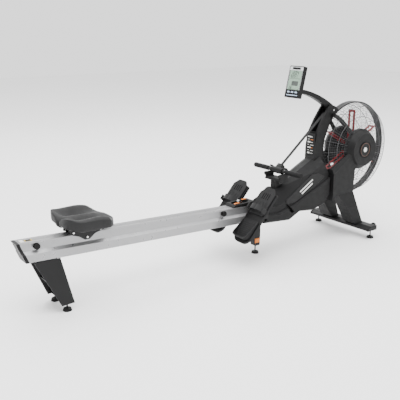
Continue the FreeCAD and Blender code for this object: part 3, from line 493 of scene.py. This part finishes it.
def addDigit(bm, digit, across, up, tall, wide):
    stroke = tall * consoleFace["stroke"]
    bars = {"a": (0, tall / 2, wide, stroke), "d": (0, -tall / 2, wide, stroke), "g": (0, 0, wide, stroke),
            "f": (wide / 2, tall / 4, stroke, tall / 2), "b": (-wide / 2, tall / 4, stroke, tall / 2),
            "e": (wide / 2, -tall / 4, stroke, tall / 2), "c": (-wide / 2, -tall / 4, stroke, tall / 2)}
    for bar in digitBars[digit]:
        dy, dz, w, t = bars[bar]
        addInk(bm, across + dy, up + dz, w, t, consoleFace["screenInk"])


def makeConsoleFace():
    screen, bezel = consoleFace["screenInk"], consoleFace["bezelInk"]
    marks, block, silver, pill, strip = [bmesh.new() for piece in range(5)]
    for up, text, tall in consoleFace["rows"]:
        for index, digit in enumerate(text):
            across = consoleFace["digitLeft"] - index * tall * consoleFace["digitPitch"]
            addDigit(marks, digit, across, up, tall, tall * consoleFace["digitWide"])
    up, wide, low = consoleFace["bar"]
    for index in range(consoleFace["ticks"]):
        across = consoleFace["tickLeft"] - index * consoleFace["tickPitch"]
        tall = low + consoleFace["barGrow"] * (index % consoleFace["barCycle"])
        addInk(marks, across, *consoleFace["tick"], screen)
        addInk(marks, across, up, wide, tall, screen)
    addInk(block, *consoleFace["block"], screen)
    addInk(silver, *consoleFace["cap"], bezel)
    across, up, wide, tall = consoleFace["edge"]
    for side in (-1, 1):
        addInk(silver, side * across, up, wide, tall, bezel)
    addInk(pill, *consoleFace["pill"], bezel + consoleFace["ink"])
    addInk(strip, *consoleFace["strip"], bezel)
    finishPiece("screenMarks", marks, finish["screenInk"], "console", smooth=False)
    finishPiece("screenBlock", block, finish["screenGrey"], "console", smooth=False)
    finishPiece("bezelTrim", silver, finish["silverBezel"], "console", smooth=False)
    finishPiece("bezelPill", pill, finish["blackPlastic"], "console", smooth=False)
    finishPiece("bezelStrip", strip, finish["keyPlastic"], "console", smooth=False)


makeConsoleFace()
print("console face made")


# pale marks on the keys

keyMark = {"keys": 3, "wide": 0.0185, "tall": 0.0075, "thick": 0.0004, "out": 0.0014}


def makeKeyMarks():
    turn = slopeTurn(consoleFace["lean"])
    for index in range(keyMark["keys"]):
        name = "key_%d" % (index + 1)
        low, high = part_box("console_" + name)
        place = (low + high) / 2 + turn @ Vector((-keyMark["out"], 0, 0))
        bm = bmesh.new()
        addBlock(bm, place, (keyMark["thick"], keyMark["wide"], keyMark["tall"]), turn)
        finishPiece("keyMark%d" % (index + 1), bm, finish["keyPlastic"], name, smooth=False)


makeKeyMarks()
print("key marks made")


# generic printed blocks on the mast's rear panel

mastPanel = {"sheet": (0.058, 0.132), "sheetOut": 0.0002, "sheetUp": 0.004, "inkOut": 0.0006,
             "top": 0.020, "pitch": 0.0165, "thick": 0.0005, "left": 0.022, "noteAcross": -0.012,
             "noteUp": -0.001, "noteWide": 0.030, "noteShrink": 0.6, "noteTall": 0.0025,
             "warmEvery": 3, "warmRow": 1,
             "wide": (0.030, 0.014, 0.022, 0.010, 0.026, 0.012, 0.018),
             "tall": (0.007, 0.003, 0.009, 0.003)}


def makeMastPanel():
    low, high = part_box("mast_rear_panel")
    thick = mastPanel["thick"]
    sheet, pale, warm = bmesh.new(), bmesh.new(), bmesh.new()
    inkX = low.x - mastPanel["inkOut"]
    place = (low.x - mastPanel["sheetOut"], 0, (low.z + high.z) / 2 + mastPanel["sheetUp"])
    addBlock(sheet, place, (thick, *mastPanel["sheet"]))
    for row, wide in enumerate(mastPanel["wide"]):
        up = high.z - mastPanel["top"] - row * mastPanel["pitch"]
        tall = mastPanel["tall"][row % len(mastPanel["tall"])]
        addBlock(pale, (inkX, mastPanel["left"] - wide / 2, up), (thick, wide, tall))
        marks = warm if row % mastPanel["warmEvery"] == mastPanel["warmRow"] else pale
        noteWide = mastPanel["noteWide"] - wide * mastPanel["noteShrink"]
        addBlock(marks, (inkX, mastPanel["noteAcross"], up + mastPanel["noteUp"]),
                 (thick, noteWide, mastPanel["noteTall"]))
    for name, bm, finishName in (("mastPanelSheet", sheet, "blackPlastic"),
                                 ("mastPanelBlocks", pale, "paleInk"),
                                 ("mastPanelTrim", warm, "orangePlastic")):
        finishPiece(name, bm, finish[finishName], "frame", smooth=False)


makeMastPanel()
print("mast panel made")


# generic stripes on the casing's side panels

sideStripes = {"along": 0.166, "up": 0.075, "bars": ((0.012, 0.118), (-0.006, 0.100)),
               "shift": 0.4, "out": 0.0001, "thick": 0.0006, "tall": 0.0085, "slope": -31}


def makeSideStripes():
    low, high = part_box("body_side_panels")
    bm = bmesh.new()
    for side in (-1, 1):
        for lift, length in sideStripes["bars"]:
            place = (low.x + sideStripes["along"] - lift * sideStripes["shift"],
                     side * (high.y + sideStripes["out"]), low.z + sideStripes["up"] + lift)
            size = (length, sideStripes["thick"], sideStripes["tall"])
            addBlock(bm, place, size, slopeTurn(sideStripes["slope"]))
    finishPiece("sideStripes", bm, finish["paleInk"], "frame", smooth=False)


makeSideStripes()
print("side stripes made")


# hub badge: a black disc with a thin ring and a plain pale spot

hubBadge = {"disc": 0.046, "ring": 0.041, "ringThick": 0.0010, "spot": 0.015, "height": 0.0005}


def makeHubBadge():
    low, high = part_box("hub_covers")
    center = (low + high) / 2
    disc, ring, spot = bmesh.new(), bmesh.new(), bmesh.new()
    for side in (-1, 1):
        out = Vector((center.x, side * high.y, center.z))
        step = Vector((0, side * hubBadge["height"], 0))
        addDisc(disc, out, (0, side, 0), hubBadge["disc"], hubBadge["height"], segments=48, taper=0.99)
        addRing(ring, out + step, (0, side, 0), hubBadge["ring"], hubBadge["ringThick"])
        addDisc(spot, out + step, (0, side, 0), hubBadge["spot"], hubBadge["height"], taper=0.98)
    finishPiece("hubDiscs", disc, finish["blackPlastic"], "frame", smooth=False)
    finishPiece("hubRings", ring, finish["brownInk"], "frame")
    finishPiece("hubSpots", spot, finish["paleInk"], "frame", smooth=False)


makeHubBadge()
print("hub badge made")


# fine wires between the cage's main spokes

cageWires = {"spokes": 96, "mainSpokes": 24, "thick": 0.0011, "turnRadius": 0.264, "turnSide": 0.062,
             "rimRadius": 0.284, "rimSide": 0.024, "hubRadius": 0.126, "hubSide": 0.0857,
             "rings": (0.274, 0.252, 0.236, 0.218, 0.182, 0.164, 0.146), "ringShare": 0.6}


def addWire(bm, start, end, thick):
    run = end - start
    turn = Vector((1, 0, 0)).rotation_difference(run).to_matrix()
    addBlock(bm, (start + end) / 2, (run.length, thick, thick), turn)


def cageSide(radius):
    values = cageWires
    if radius > values["turnRadius"]:
        share = (radius - values["turnRadius"]) / (values["rimRadius"] - values["turnRadius"])
        return values["turnSide"] + share * (values["rimSide"] - values["turnSide"])
    share = (values["turnRadius"] - radius) / (values["turnRadius"] - values["hubRadius"])
    return values["turnSide"] + share * (values["hubSide"] - values["turnSide"])


def makeCageWires():
    low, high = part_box("fan_ring")
    center = (low + high) / 2
    every = cageWires["spokes"] // cageWires["mainSpokes"]
    bm = bmesh.new()
    for side in (-1, 1):
        for step in range(cageWires["spokes"]):
            if step % every:
                angle = 2 * math.pi * step / cageWires["spokes"]
                out = Vector((math.cos(angle), 0, math.sin(angle)))
                radii = [cageWires[name] for name in ("rimRadius", "turnRadius", "hubRadius")]
                rim, bend, hub = [center + out * radius + Vector((0, side * cageSide(radius), 0))
                                  for radius in radii]
                addWire(bm, rim, bend, cageWires["thick"])
                addWire(bm, bend, hub, cageWires["thick"])
        for radius in cageWires["rings"]:
            addRing(bm, center + Vector((0, side * cageSide(radius), 0)), (0, side, 0), radius,
                    cageWires["thick"] * cageWires["ringShare"], sides=4)
    finishPiece("cageWires", bm, finish["wirePaint"], "frame", smooth=False)


makeCageWires()
print("cage wires made")


# sticker and strip near the rail's rear end

railMarks = {"along": 0.052, "across": -0.0015, "edge": (0.034, 0.021), "label": (0.025, 0.0205),
             "strip": (0.018, 0.034), "stripShift": (-0.031, 0.002, 0.0011), "layer": 0.0002,
             "thick": 0.0004, "slope": 2}


def makeRailMarks():
    low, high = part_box("rail")
    edge, label, strip = bmesh.new(), bmesh.new(), bmesh.new()
    turn = slopeTurn(railMarks["slope"])
    thick, layer = railMarks["thick"], railMarks["layer"]
    place = Vector((low.x + railMarks["along"], railMarks["across"], 0))
    place.z = high.z - railMarks["along"] * math.tan(math.radians(railMarks["slope"])) + layer
    addBlock(edge, place, (*railMarks["edge"], thick), turn)
    addBlock(label, place + Vector((0, 0, layer)), (*railMarks["label"], thick), turn)
    addBlock(strip, place + Vector(railMarks["stripShift"]), (*railMarks["strip"], thick), turn)
    finishPiece("railStickerEdge", edge, finish["yellowInk"], "frame", smooth=False)
    finishPiece("railSticker", label, finish["blackPlastic"], "frame", smooth=False)
    finishPiece("railStrip", strip, finish["paleInk"], "frame", smooth=False)


makeRailMarks()
print("rail marks made")


# grip ribs and pointer on the resistance dial

dialGrip = {"ribs": 18, "radius": 0.0212, "ribSize": (0.0014, 0.0014, 0.011), "lean": 25.5,
            "knobTop": 0.0195, "ringDrop": 0.006, "ringThick": 0.0011, "ribDrop": 0.010, "ribSink": 0.0003,
            "pointer": (0.013, 0.0028, 0.0008), "pointerLift": 0.0012, "pointerShift": 0.010}


def makeDialGrip():
    low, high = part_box("resistance_dial")
    lean = math.radians(dialGrip["lean"])
    axis = Vector((-math.sin(lean), 0, math.cos(lean)))
    across = Vector((math.cos(lean), 0, math.sin(lean)))
    middle = (low + high) / 2 + axis * dialGrip["knobTop"]
    turn = Vector((0, 0, 1)).rotation_difference(axis).to_matrix()
    ribs, pointer = bmesh.new(), bmesh.new()
    addRing(ribs, middle - axis * dialGrip["ringDrop"], axis, dialGrip["radius"], dialGrip["ringThick"])
    for step in range(dialGrip["ribs"]):
        angle = 2 * math.pi * step / dialGrip["ribs"]
        out = across * math.cos(angle) + Vector((0, 1, 0)) * math.sin(angle)
        place = middle - axis * dialGrip["ribDrop"] + out * (dialGrip["radius"] - dialGrip["ribSink"])
        addBlock(ribs, place, dialGrip["ribSize"], turn)
    place = middle + axis * dialGrip["pointerLift"] - across * dialGrip["pointerShift"]
    addBlock(pointer, place, dialGrip["pointer"], slopeTurn(-dialGrip["lean"]))
    finishPiece("dialGrip", ribs, finish["blackPlastic"], "dial")
    finishPiece("dialPointer", pointer, finish["orangePlastic"], "dial")


makeDialGrip()
print("dial grip made")


# orange marks beside the lock's hook

lockMarks = {"along": 0.046, "across": 0.024, "up": 0.0006, "size": (0.034, 0.011, 0.003), "slope": -2,
             "bevel": 0.001}


def makeLockMarks():
    low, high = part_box("rail_lock_cover")
    bm = bmesh.new()
    for side in (-1, 1):
        place = ((low.x + high.x) / 2 + side * lockMarks["along"], side * lockMarks["across"],
                 high.z + lockMarks["up"])
        addBlock(bm, place, lockMarks["size"], slopeTurn(lockMarks["slope"]), bevel=lockMarks["bevel"])
    finishPiece("lockMarks", bm, finish["orangePlastic"], "frame")


makeLockMarks()
print("lock marks made")


# screw heads round the hub covers

coverScrews = {"circle": 0.083, "angles": (40, 130, 220, 310), "radius": 0.0042, "height": 0.0016,
               "sink": 0.0025}


def makeCoverScrews():
    low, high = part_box("hub_covers")
    center = (low + high) / 2
    bm = bmesh.new()
    for side in (-1, 1):
        for degrees in coverScrews["angles"]:
            angle = math.radians(degrees)
            place = center + Vector((math.cos(angle), 0, math.sin(angle))) * coverScrews["circle"]
            place.y = side * (high.y - coverScrews["sink"])
            addDisc(bm, place, (0, side, 0), coverScrews["radius"], coverScrews["height"], taper=0.8)
    finishPiece("coverScrews", bm, finish["blackPlastic"], "frame")


makeCoverScrews()
print("cover screws made")


# loose ends of the foot straps, folded back outside the plates

strapTails = {"size": (0.030, 0.0035, 0.034), "slope": -49, "out": 0.0005, "up": -0.012, "bevel": 0.001}


def makeStrapTails():
    low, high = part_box("foot_straps")
    middle = (low + high) / 2
    bm = bmesh.new()
    for side in (-1, 1):
        place = Vector((middle.x, side * (high.y + strapTails["out"]), middle.z + strapTails["up"]))
        addBlock(bm, place, strapTails["size"], slopeTurn(strapTails["slope"]), bevel=strapTails["bevel"])
    finishPiece("strapTails", bm, finish["webbing"], "frame")


makeStrapTails()
print("strap tails made")
